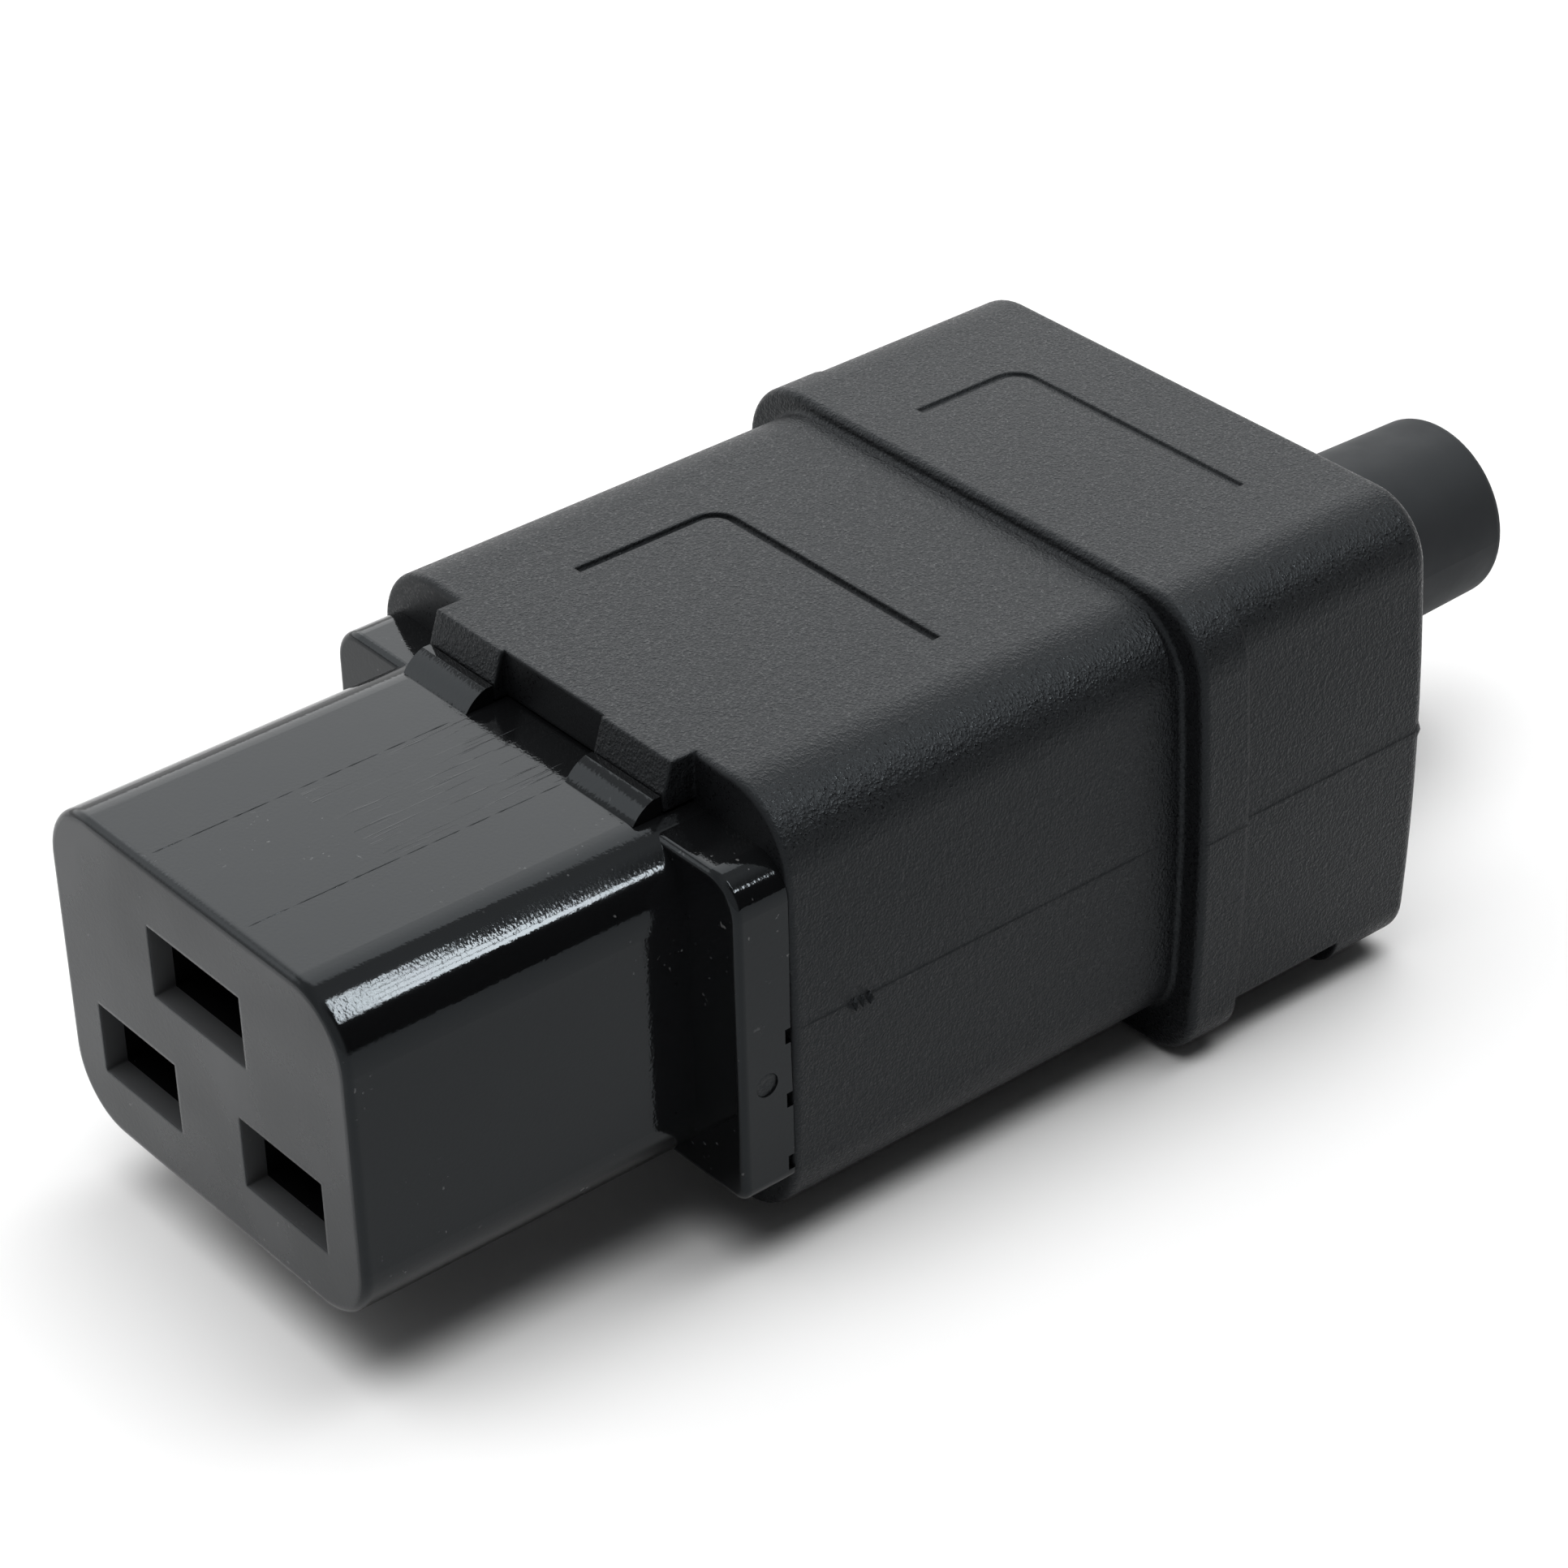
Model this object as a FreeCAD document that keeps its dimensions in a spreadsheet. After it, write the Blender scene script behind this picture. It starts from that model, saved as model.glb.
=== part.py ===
import FreeCAD, Part
import math
import os
import re
import Sketcher

# Rewireable 16 A connector for a rack power lead: a glossy contact carrier in a one-piece moulded shell.
# Every outline is drawn from a datum at the nose face, midway between the line and neutral slots:
# X is the width, +Y runs back to the cable, +Z is up to the earth slot. Each piece's placement then
# carries the datum to the middle of the connector's own box, with the rim of the shell on the floor.

SIZES = {
    # coupler face
    "pin_pitch": 13.0,
    "earth_rise": 8.0,
    "line_slot_width": 7.15,
    "line_slot_height": 4.3,
    "earth_slot_width": 8.2,
    "earth_slot_height": 4.3,
    "mouth_depth": 5.0,
    # contact carrier
    "nose_width": 26.4,
    "nose_height": 20.0,
    "nose_length": 20.8,
    "nose_corner": 4.0,
    "nose_edge": 0.5,
    "slot_rise": 5.95,
    "flange_width": 34.2,
    "flange_depth": 3.3,
    "flange_corner": 2.2,
    "flange_foot": 0.8,
    "flange_edge": 0.45,
    "flange_drop": 0.3,
    "nick_start": 10.2,
    "nick_pitch": 4.0,
    "nick_height": 0.9,
    "nick_length": 0.4,
    "nick_depth": 0.35,
    "mark_radius": 0.7,
    "mark_rise": 1.0,
    "mark_depth": 0.1,
    "block_width": 30.4,
    "block_length": 12.0,
    "block_corner": 2.0,
    "block_drop": 0.6,
    "chamber_width": 9.0,
    "chamber_height": 6.0,
    "tab_width": 5.55,
    "tab_gap": 8.5,
    "tab_length": 1.8,
    "tab_height": 1.05,
    "tab_land": 0.45,
    "tab_bulge": 2.4,
    "shelf_thickness": 1.2,
    "barrier_thickness": 2.0,
    "boss_radius": 2.9,
    "boss_side": 10.6,
    "boss_rise": 9.6,
    # outer shell
    "fit_gap": 0.15,
    "side_wall": 2.05,
    "top_wall": 2.7,
    "bottom_wall": 3.35,
    "back_wall": 2.5,
    "side_bow": 150.0,
    "front_length": 26.9,
    "front_corner": 4.5,
    "front_edge": 0.35,
    "rim_length": 3.3,
    "rim_proud": 1.7,
    "rim_foot_corner": 3.2,
    "rim_front_edge": 0.45,
    "rim_crease": 0.3,
    "tail_rise": 0.8,
    "rear_length": 14.2,
    "rear_proud": 1.2,
    "rear_corner": 3.9,
    "foot_corner": 2.6,
    "rear_edge": 1.0,
    "recess_depth": 2.2,
    "foot_length": 5.7,
    "tongue_width": 19.8,
    "tongue_reach": 2.0,
    "tongue_slope": 0.6,
    "tongue_notch": 0.8,
    "groove_width": 0.55,
    "frame_corner": 1.6,
    "frame_left": 8.5,
    "frame_right": 9.8,
    "front_frame_start": 6.6,
    "front_frame_end": 16.5,
    "front_frame_depth": 0.3,
    "rear_frame_start": 0.6,
    "rear_frame_end": 8.2,
    "rear_frame_depth": 0.15,
    # contacts and terminals
    "contact_start": 7.0,
    "contact_width": 6.0,
    "contact_height": 4.8,
    "leaf_thickness": 0.6,
    "web_thickness": 0.8,
    "pin_grip": 1.8,
    "throat_depth": 3.2,
    "flare": 0.9,
    "bow_length": 14.0,
    "terminal_side": 6.4,
    "terminal_length": 9.8,
    "wire_hole_radius": 1.7,
    "wire_hole_depth": 8.0,
    "rivet_radius": 1.2,
    "pole_screw_radius": 1.6,
    "pole_screw_head_radius": 2.2,
    "pole_screw_head": 1.5,
    "pole_screw_stand": 0.4,
    # rear holder and cord clamp
    "plate_thickness": 2.0,
    "plate_margin": 0.7,
    "wire_entry_radius": 2.2,
    "cradle_width": 25.0,
    "cradle_length": 15.0,
    "cradle_floor": 3.7,
    "post_inner": 6.3,
    "post_depth": 6.0,
    "post_start": 4.0,
    "post_top": 5.1,
    "clamp_thickness": 3.6,
    "clamp_depth": 5.0,
    "clamp_round": 1.0,
    "cord_radius": 4.4,
    "small_screw_radius": 1.35,
    "small_screw_head_radius": 2.5,
    "small_screw_head": 1.7,
    "small_screw_length": 8.0,
    "screw_gap": 0.1,
    "driver_width": 0.7,
    "driver_depth": 0.8,
    # shell screw and its nut
    "shell_screw_radius": 1.5,
    "shell_screw_head_radius": 2.75,
    "shell_screw_head": 1.6,
    "shell_screw_place": 4.4,
    "nut_width": 5.5,
    "nut_height": 1.9,
    # cable sleeve
    "sleeve_rise": 2.3,
    "sleeve_reach": 20.5,
    "sleeve_radius": 6.1,
    "sleeve_taper": 0.5,
    "sleeve_bore": 4.4,
    "sleeve_edge": 0.7,
    "collar_radius": 7.0,
    "collar_depth": 2.2,
}

# Stations along the length and levels, as sums of the sizes above.
SHELL_FRONT = "(nose_length + flange_depth)"
BLOCK_BACK = f"({SHELL_FRONT} + block_length)"
RIM_FRONT = f"({SHELL_FRONT} + front_length)"
RIM_BACK = f"({RIM_FRONT} + rim_length)"
SHELL_BACK = f"({RIM_BACK} + rear_length)"
CAVITY_BACK = f"({SHELL_BACK} - back_wall)"
SLEEVE_END = f"({SHELL_BACK} + sleeve_reach)"
TERMINAL_BACK = f"({BLOCK_BACK} + terminal_length)"
POLE_SCREW = f"({TERMINAL_BACK} - wire_hole_depth / 2)"
PLATE_FRONT = f"({TERMINAL_BACK} + screw_gap)"
PLATE_BACK = f"({PLATE_FRONT} + plate_thickness)"
POST_FRONT = f"({PLATE_BACK} + post_start)"
POST_MIDDLE = f"({POST_FRONT} + post_depth / 2)"
POST_SIDE = "((post_inner + cradle_width / 2) / 2)"
SHELL_SCREW = f"({RIM_BACK} + shell_screw_place)"
NOSE_BOTTOM = "(-slot_rise)"
NOSE_TOP = "(nose_height - slot_rise)"
BLOCK_TOP = f"({NOSE_TOP} - block_drop)"
SHELL_TOP = f"({NOSE_TOP} + fit_gap + top_wall)"
SHELL_BOTTOM = f"({NOSE_BOTTOM} - fit_gap - bottom_wall)"
PARTING = f"(({SHELL_TOP} + {SHELL_BOTTOM}) / 2)"
SHELL_SIDE = "(block_width / 2 + fit_gap + side_wall)"
TAIL_TOP = f"({SHELL_TOP} + tail_rise)"
RECESS_LEVEL = f"({SHELL_BOTTOM} - rear_proud + recess_depth)"
CRADLE_TOP = f"({NOSE_BOTTOM} + cradle_floor)"
CLAMP_TOP = "(post_top + clamp_thickness)"
DATUM_BACK = f"(-{SLEEVE_END} / 2)"
DATUM_RISE = f"(rim_proud - {SHELL_BOTTOM})"

# The three poles: side, rise, slot width, slot height, and whether the terminal screw faces up.
POLES = {
    "line": ("(-pin_pitch / 2)", "0", "line_slot_width", "line_slot_height", False),
    "neutral": ("(pin_pitch / 2)", "0", "line_slot_width", "line_slot_height", False),
    "earth": ("0", "earth_rise", "earth_slot_width", "earth_slot_height", True),
}
HANDS = {"left": "-1", "right": "1"}
NICKS = range(3)

V = FreeCAD.Vector
ALONG_X, ALONG_Y, ALONG_Z = V(1, 0, 0), V(0, 1, 0), V(0, 0, 1)
UPSIDE_DOWN = FreeCAD.Rotation(ALONG_Y, 180)
FACING_BACK = FreeCAD.Rotation(ALONG_X, -90)
NEAR = 0.02
# An origin plane's normal points this way along the axis that it is square to.
NORMAL_SIGN = {"XY_Plane": 1, "XZ_Plane": -1, "YZ_Plane": 1}

doc = FreeCAD.newDocument("rack_power_connector")
sheet = doc.addObject("Spreadsheet::Sheet", "Sizes")
for row, (alias, value) in enumerate(SIZES.items(), start=1):
    sheet.set(f"A{row}", alias)
    sheet.set(f"B{row}", str(value))
    sheet.setAlias(f"B{row}", alias)
doc.recompute()


def cells(text):
    """An expression with the name of each size turned into its cell."""
    return re.sub(r"[a-z_]+", lambda word: f"Sizes.{word[0]}" if word[0] in SIZES else word[0], text)


def number(text):
    """The value that an expression has now."""
    return float(sheet.evalExpression(cells(text)))


def bind(sketch, constraint, name, text):
    """Add a named dimension to a sketch and tie it to an expression."""
    sketch.renameConstraint(sketch.addConstraint(constraint), name)
    sketch.setExpression(f"Constraints.{name}", cells(text))


def arc(start, end, radius):
    """The short arc that turns left from one point to another, or right where the radius is negative."""
    first, last = (start, end) if radius > 0 else (end, start)
    half = (last - first) * 0.5
    inward = V(-half.y, half.x, 0).normalize()
    centre = first + half + inward * math.sqrt(radius ** 2 - half.Length ** 2)
    whole = Part.Circle(centre, ALONG_Z, abs(radius))
    return Part.ArcOfCircle(whole, whole.parameter(first), whole.parameter(last))


def outline(*points):
    """A closed outline of points, each two expressions; a third makes the next run an arc of that radius."""
    def draw(sketch):
        spots = [V(number(point[0]), number(point[1]), 0) for point in points]
        for point, spot, follower in zip(points, spots, spots[1:] + spots[:1]):
            straight = len(point) == 2
            run = Part.LineSegment(spot, follower) if straight else arc(spot, follower, number(point[2]))
            sketch.addGeometry(run, False)
        # An arc that turns right is drawn from its far end, so its start is the second of its two ends.
        starts = [2 if any(number(radius) < 0 for radius in point[2:]) else 1 for point in points]
        for index, (point, spot, start) in enumerate(zip(points, spots, starts)):
            follower = (index + 1) % len(points)
            finish = 3 - start
            joint = Sketcher.Constraint("Coincident", index, finish, follower, starts[follower])
            sketch.addConstraint(joint)
            across = Sketcher.Constraint("DistanceX", -1, 1, index, start, spot.x)
            bind(sketch, across, f"across_{index}", point[0])
            up = Sketcher.Constraint("DistanceY", -1, 1, index, start, spot.y)
            bind(sketch, up, f"up_{index}", point[1])
            for radius in point[2:]:
                size = Sketcher.Constraint("Radius", index, abs(number(radius)))
                bind(sketch, size, f"radius_{index}", f"abs({radius})")
    return draw


def mirrored(right):
    """The left half of an even outline, from its right half."""
    flipped = [(f"-({point[0]})", point[1]) for point in reversed(right)]
    radii = [point[2:] for point in reversed(right[:-1])]
    return [(*point, *radius) for point, radius in zip(flipped, radii)] + flipped[-1:]


def rectangle(left, right, low, high):
    return outline((left, low), (right, low), (right, high), (left, high))


def even_rectangle(half_width, low, high):
    """A rectangle that is even about the middle plane."""
    return rectangle(f"-({half_width})", half_width, low, high)


def rounded_rectangle(half_width, low, high, radius, foot=None):
    """A rectangle even about the middle plane, with round corners, of another radius at the foot if given."""
    foot = foot or radius
    right = [(f"({half_width} - {foot})", low, foot), (half_width, f"({low} + {foot})"),
             (half_width, f"({high} - {radius})", radius), (f"({half_width} - {radius})", high)]
    return outline(*right, *mirrored(right))


def hexagon(v, width):
    """A hexagon about the middle plane, with two flats square to it."""
    half, point = f"({width}) / 2", f"({width}) / sqrt(3)"
    return outline((f"-{half}", f"{v} - {point} / 2"), ("0", f"{v} - {point}"), (half, f"{v} - {point} / 2"),
                   (half, f"{v} + {point} / 2"), ("0", f"{v} + {point}"), (f"-{half}", f"{v} + {point} / 2"))


def circle(u, v, radius):
    def draw(sketch):
        centre = V(number(u), number(v), 0)
        sketch.addGeometry(Part.Circle(centre, ALONG_Z, number(radius)), False)
        bind(sketch, Sketcher.Constraint("DistanceX", -1, 1, 0, 3, centre.x), "across", u)
        bind(sketch, Sketcher.Constraint("DistanceY", -1, 1, 0, 3, centre.y), "up", v)
        bind(sketch, Sketcher.Constraint("Radius", 0, number(radius)), "radius", radius)
    return draw


def make_sketch(body, name, plane, level, draw):
    """A sketch on one of the body's own origin planes, moved along the axis square to it."""
    sketch = body.newObject("Sketcher::SketchObject", f"{name}_sketch")
    support = next(part for part in body.Origin.OriginFeatures if part.Role == plane)
    sketch.AttachmentSupport = [(support, "")]
    sketch.MapMode = "FlatFace"
    sketch.setExpression("AttachmentOffset.Base.z", cells(f"{NORMAL_SIGN[plane]} * ({level})"))
    draw(sketch)
    return sketch


def volume(body):
    return body.Shape.Volume if body.Tip else 0.0


def extrude(body, kind, name, plane, start, end, draw):
    """Pad or pocket an outline between two stations, and stop if that changed nothing."""
    before = volume(body)
    sketch = make_sketch(body, name, plane, start, draw)
    feature = body.newObject(kind, name)
    feature.Profile = sketch
    feature.setExpression("Length", cells(f"({end}) - ({start})"))
    sign = 1 if kind == "PartDesign::Pad" else -1
    feature.Reversed = sign * NORMAL_SIGN[plane] < 0
    doc.recompute()
    if sign * (volume(body) - before) <= 0:
        raise RuntimeError(f"{body.Label}: {name} changed nothing")


def add(body, name, plane, start, end, draw):
    extrude(body, "PartDesign::Pad", name, plane, start, end, draw)


def cut(body, name, plane, start, end, draw):
    extrude(body, "PartDesign::Pocket", name, plane, start, end, draw)


def turn(body, name, *points):
    """Revolve a half profile, given as radius and height pairs, about the Z axis."""
    sketch = make_sketch(body, name, "XZ_Plane", "0", outline(*points))
    feature = body.newObject("PartDesign::Revolution", name)
    feature.Profile = sketch
    feature.ReferenceAxis = (sketch, ["V_Axis"])
    feature.Angle = 360
    doc.recompute()


def soften(body, name, radius, chosen):
    """Round the edges that a test picks out."""
    base = body.Tip
    names = [f"Edge{index}" for index, edge in enumerate(base.Shape.Edges, start=1) if chosen(edge)]
    if not names:
        raise RuntimeError(f"{body.Label}: {name} found no edge")
    feature = body.newObject("PartDesign::Fillet", name)
    feature.Base = (base, names)
    feature.setExpression("Radius", cells(radius))
    doc.recompute()
    if "Invalid" in feature.State or feature.Shape.isNull():
        raise RuntimeError(f"{body.Label}: {name} cannot be rounded")


def middle(edge):
    return edge.valueAt((edge.FirstParameter + edge.LastParameter) / 2)


def runs_along(edge, axis):
    return isinstance(edge.Curve, Part.Line) and abs(edge.Curve.Direction.dot(axis)) > 0.999


def near(value, text):
    return abs(value - number(text)) < NEAR


def lies_at(edge, station):
    """Whether the whole edge lies in the plane square to Y at a station."""
    box = edge.BoundBox
    return near(box.YMin, station) and near(box.YMax, station)


def borders_face_before(body, edge, station):
    """Whether a face on the edge reaches forward of a station."""
    faces = body.Tip.Shape.ancestorsOfType(edge, Part.Face)
    return any(face.BoundBox.YMin < number(station) - NEAR for face in faces)


def new_body(label):
    body = doc.addObject("PartDesign::Body", label)
    body.Label = label
    return body


def place(body, x="0", y="0", z="0", rotation=None):
    """Move a body from the datum to its own place in the connector's frame."""
    if rotation:
        body.Placement = FreeCAD.Placement(V(), rotation)
    body.setExpression("Placement.Base.x", cells(x))
    body.setExpression("Placement.Base.y", cells(f"{DATUM_BACK} + {y}"))
    body.setExpression("Placement.Base.z", cells(f"{DATUM_RISE} + {z}"))
    doc.recompute()
    return body


def contact_carrier():
    """Glossy nose with its slots, the flange that stops on the shell, and the terminal bays behind."""
    body = new_body("contact_carrier")
    flange_top = f"({NOSE_TOP} - flange_drop)"
    flange = rounded_rectangle("flange_width / 2", NOSE_BOTTOM, flange_top, "flange_corner", "flange_foot")
    add(body, "flange", "XZ_Plane", "nose_length", SHELL_FRONT, flange)
    soften(body, "flange_front", "flange_edge", lambda edge: lies_at(edge, "nose_length"))
    nose = rounded_rectangle("nose_width / 2", NOSE_BOTTOM, NOSE_TOP, "nose_corner")
    add(body, "nose", "XZ_Plane", "0", SHELL_FRONT, nose)
    soften(body, "nose_front", "nose_edge", lambda edge: lies_at(edge, "0"))
    block = rounded_rectangle("block_width / 2", NOSE_BOTTOM, BLOCK_TOP, "block_corner")
    add(body, "block", "XZ_Plane", SHELL_FRONT, BLOCK_BACK, block)

    for pole, (side, rise, width, height, _) in POLES.items():
        chamber = rectangle(f"{side} - chamber_width / 2", f"{side} + chamber_width / 2",
                            f"{rise} - chamber_height / 2", f"{rise} + chamber_height / 2")
        cut(body, f"{pole}_chamber", "XZ_Plane", "mouth_depth", BLOCK_BACK, chamber)
        mouth = rectangle(f"{side} - {width} / 2", f"{side} + {width} / 2",
                          f"{rise} - {height} / 2", f"{rise} + {height} / 2")
        cut(body, f"{pole}_mouth", "XZ_Plane", "0", "mouth_depth", mouth)

    # Insulating walls between the terminals: a shelf under the earth and a barrier between the other two.
    shelf_low, shelf_high = "(earth_rise - shelf_thickness) / 2", "(earth_rise + shelf_thickness) / 2"
    shelf = even_rectangle("block_width / 2", shelf_low, shelf_high)
    add(body, "shelf", "XZ_Plane", BLOCK_BACK, PLATE_FRONT, shelf)
    barrier = even_rectangle("barrier_thickness / 2", NOSE_BOTTOM, shelf_low)
    add(body, "barrier", "XZ_Plane", BLOCK_BACK, PLATE_FRONT, barrier)
    pilot_end = f"{PLATE_BACK} - small_screw_length - screw_gap"
    for hand, sign in HANDS.items():
        side = f"{sign} * boss_side"
        boss = circle(side, "boss_rise", "boss_radius")
        add(body, f"{hand}_boss", "XZ_Plane", BLOCK_BACK, PLATE_FRONT, boss)
        pilot = circle(side, "boss_rise", "small_screw_radius + screw_gap / 2")
        cut(body, f"{hand}_pilot", "XZ_Plane", pilot_end, PLATE_FRONT, pilot)

    # Moulding marks on the flange: vents along its back edge and a round ejector mark on each side.
    flange_middle = "(nose_length + flange_depth / 2)"
    for hand, sign in HANDS.items():
        face = f"{sign} * flange_width / 2"
        for count in NICKS:
            level = f"({NOSE_TOP} - nick_start - {count} * nick_pitch)"
            vent = rectangle(f"{face} - {sign} * nick_depth", face, f"{level} - nick_height", level)
            cut(body, f"{hand}_vent_{count}", "XZ_Plane", f"{SHELL_FRONT} - nick_length", SHELL_FRONT, vent)
        inner, outer = ("-mark_depth", "0") if hand == "right" else ("0", "mark_depth")
        mark = circle(flange_middle, "mark_rise", "mark_radius")
        cut(body, f"{hand}_ejector_mark", "YZ_Plane", f"{face} + {inner}", f"{face} + {outer}", mark)

    # Two bulged tabs on top of the nose, in front of the shell's tongue.
    tab_back = f"({SHELL_FRONT} - tongue_reach - screw_gap)"
    tab_top = f"({NOSE_TOP} + tab_height)"
    wedge = outline((f"{tab_back} - tab_length", NOSE_TOP), (tab_back, NOSE_TOP), (tab_back, tab_top),
                    (f"{tab_back} - tab_land", tab_top, "tab_bulge"))
    for hand, start in (("left", "(-tab_gap / 2 - tab_width)"), ("right", "(tab_gap / 2)")):
        add(body, f"{hand}_tab", "YZ_Plane", start, f"{start} + tab_width", wedge)
    return place(body)


def bowed_outline(step, top, top_corner, bottom_corner):
    """Section of the shell, a step larger at the sides and bottom, its sides bowed to the parting line."""
    side = f"({SHELL_SIDE} + {step})"

    def corner(sign, level, radius):
        """Where a corner's arc leaves the flat face, and where it runs into the bowed side."""
        rise = f"({sign} * ({level} - {PARTING}) - {radius})"
        across = f"sqrt((side_bow - {radius})^2 - {rise}^2)"
        reach = f"side_bow / (side_bow - {radius})"
        middle_of_bow = f"{side} - side_bow"
        on_flat = (f"({middle_of_bow} + {across})", level)
        on_side = (f"({middle_of_bow} + {across} * {reach})", f"({PARTING} + {sign} * {rise} * {reach})")
        return on_flat, on_side

    top_flat, top_side = corner("1", top, top_corner)
    low_flat, low_side = corner("-1", f"({SHELL_BOTTOM} - {step})", bottom_corner)
    right = [(*low_flat, bottom_corner), (*low_side, "side_bow"), (*top_side, top_corner), top_flat]
    return outline(*right, *mirrored(right))


def frame_groove(start, end):
    """Engraved line: a leg along the left, a round corner and a run across at the far end."""
    left, inner, right = "-frame_left", "-frame_left + groove_width", "frame_right"
    near_side = f"{end} - groove_width"
    bend = "(frame_corner - groove_width)"
    return outline((left, start), (inner, start), (inner, f"{near_side} - {bend}", f"-{bend}"),
                   (f"{inner} + {bend}", near_side), (right, near_side), (right, end),
                   (f"{left} + frame_corner", end, "frame_corner"), (left, f"{end} - frame_corner"))


def outer_shell():
    """One-piece moulded body: front section, rim, rear box with its foot, and the tongue over the tabs."""
    body = new_body("outer_shell")
    front = bowed_outline("0", SHELL_TOP, "front_corner", "front_corner")
    add(body, "core", "XZ_Plane", SHELL_FRONT, SHELL_BACK, front)
    soften(body, "front_lip", "front_edge", lambda edge: lies_at(edge, SHELL_FRONT))
    rear = bowed_outline("rear_proud", TAIL_TOP, "rear_corner", "foot_corner")
    add(body, "rear", "XZ_Plane", RIM_BACK, SHELL_BACK, rear)
    soften(body, "rear_edges", "rear_edge", lambda edge: lies_at(edge, SHELL_BACK))

    # The rim runs level into the top of the rear box and stands out from its sides and bottom.
    rim_corner = "(rear_corner + rim_proud - rear_proud)"
    rim = bowed_outline("rim_proud", TAIL_TOP, rim_corner, "rim_foot_corner")
    add(body, "rim", "XZ_Plane", RIM_FRONT, RIM_BACK, rim)
    soften(body, "rim_front", "rim_front_edge",
           lambda edge: lies_at(edge, RIM_FRONT) and not borders_face_before(body, edge, RIM_FRONT))
    soften(body, "rim_crease_round", "rim_crease",
           lambda edge: lies_at(edge, RIM_FRONT) and borders_face_before(body, edge, RIM_FRONT))

    # The underside is cut away between the rim and the foot.
    recess = even_rectangle(f"{SHELL_SIDE} + rim_proud", f"{SHELL_BOTTOM} - rim_proud", RECESS_LEVEL)
    cut(body, "recess", "XZ_Plane", RIM_BACK, f"{SHELL_BACK} - foot_length", recess)

    cavity = rounded_rectangle("(block_width / 2 + fit_gap)", f"({NOSE_BOTTOM} - fit_gap)",
                               f"({BLOCK_TOP} + fit_gap)", "block_corner")
    cut(body, "cavity", "XZ_Plane", SHELL_FRONT, CAVITY_BACK, cavity)
    sleeve_hole = circle("0", "sleeve_rise", "sleeve_radius + screw_gap / 2")
    cut(body, "sleeve_hole", "XZ_Plane", CAVITY_BACK, SHELL_BACK, sleeve_hole)
    screw_hole = circle("0", SHELL_SCREW, "shell_screw_radius + screw_gap")
    cut(body, "screw_hole", "XY_Plane", RECESS_LEVEL, f"{NOSE_BOTTOM} - fit_gap", screw_hole)

    # The tongue reaches forward over the carrier, and its front slopes up and back from the tabs.
    low, root = f"{NOSE_TOP} + fit_gap", f"{SHELL_FRONT} + front_corner"
    tip = f"({SHELL_FRONT} - tongue_reach)"
    side_view = outline((tip, low), (root, low), (root, SHELL_TOP), (f"{tip} + tongue_slope", SHELL_TOP),
                        (tip, f"{NOSE_TOP} + tab_height"))
    add(body, "tongue", "YZ_Plane", "-tongue_width / 2", "tongue_width / 2", side_view)
    notch = even_rectangle("tab_gap / 2", low, f"{SHELL_TOP} + fit_gap")
    cut(body, "notch", "XZ_Plane", tip, f"{tip} + tongue_notch", notch)

    front_frame = frame_groove(f"{SHELL_FRONT} + front_frame_start", f"{SHELL_FRONT} + front_frame_end")
    cut(body, "front_frame", "XY_Plane", f"{SHELL_TOP} - front_frame_depth", SHELL_TOP, front_frame)
    rear_frame = frame_groove(f"{RIM_BACK} + rear_frame_start", f"{RIM_BACK} + rear_frame_end")
    cut(body, "rear_frame", "XY_Plane", f"{TAIL_TOP} - rear_frame_depth", TAIL_TOP, rear_frame)
    return place(body)


def contact(pole):
    """Folded spring: two bowed leaves that grip a flat pin, joined by a web at the back."""
    side, rise = POLES[pole][:2]
    body = new_body(f"{pole}_contact")
    web = f"({BLOCK_BACK} - web_thickness)"
    throat = "(contact_start + throat_depth)"
    leaf_end = f"({throat} + bow_length)"
    outer, grip = "contact_height / 2", "pin_grip / 2"
    upper = [
        (BLOCK_BACK, outer),
        (leaf_end, outer),
        (throat, f"{grip} + leaf_thickness"),
        ("contact_start", f"{grip} + flare + leaf_thickness"),
        ("contact_start", f"{grip} + flare"),
        (throat, grip),
        (leaf_end, f"{outer} - leaf_thickness"),
        (web, f"{outer} - leaf_thickness"),
    ]
    lower = [(y, f"-({z})") for y, z in reversed(upper)]
    add(body, "spring", "YZ_Plane", "-contact_width / 2", "contact_width / 2", outline(*upper, *lower))
    cut(body, "rivet_hole", "XZ_Plane", web, BLOCK_BACK, circle("0", "0", "rivet_radius + screw_gap / 2"))
    return place(body, x=side, z=rise)


def terminal(pole):
    """Brass pillar riveted to the contact, with a hole for the wire and one for its clamping screw."""
    side, rise = POLES[pole][:2]
    body = new_body(f"{pole}_terminal")
    half = "terminal_side / 2"
    add(body, "pillar", "XZ_Plane", BLOCK_BACK, TERMINAL_BACK, even_rectangle(half, f"-{half}", half))
    rivet = circle("0", "0", "rivet_radius")
    add(body, "rivet", "XZ_Plane", f"{BLOCK_BACK} - web_thickness", BLOCK_BACK, rivet)
    wire = circle("0", "0", "wire_hole_radius")
    cut(body, "wire_hole", "XZ_Plane", f"{TERMINAL_BACK} - wire_hole_depth", TERMINAL_BACK, wire)
    screw = circle("0", POLE_SCREW, "pole_screw_radius + screw_gap / 2")
    cut(body, "screw_hole", "XY_Plane", "0", half, screw)
    return place(body, x=side, z=rise, rotation=None if POLES[pole][4] else UPSIDE_DOWN)


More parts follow.
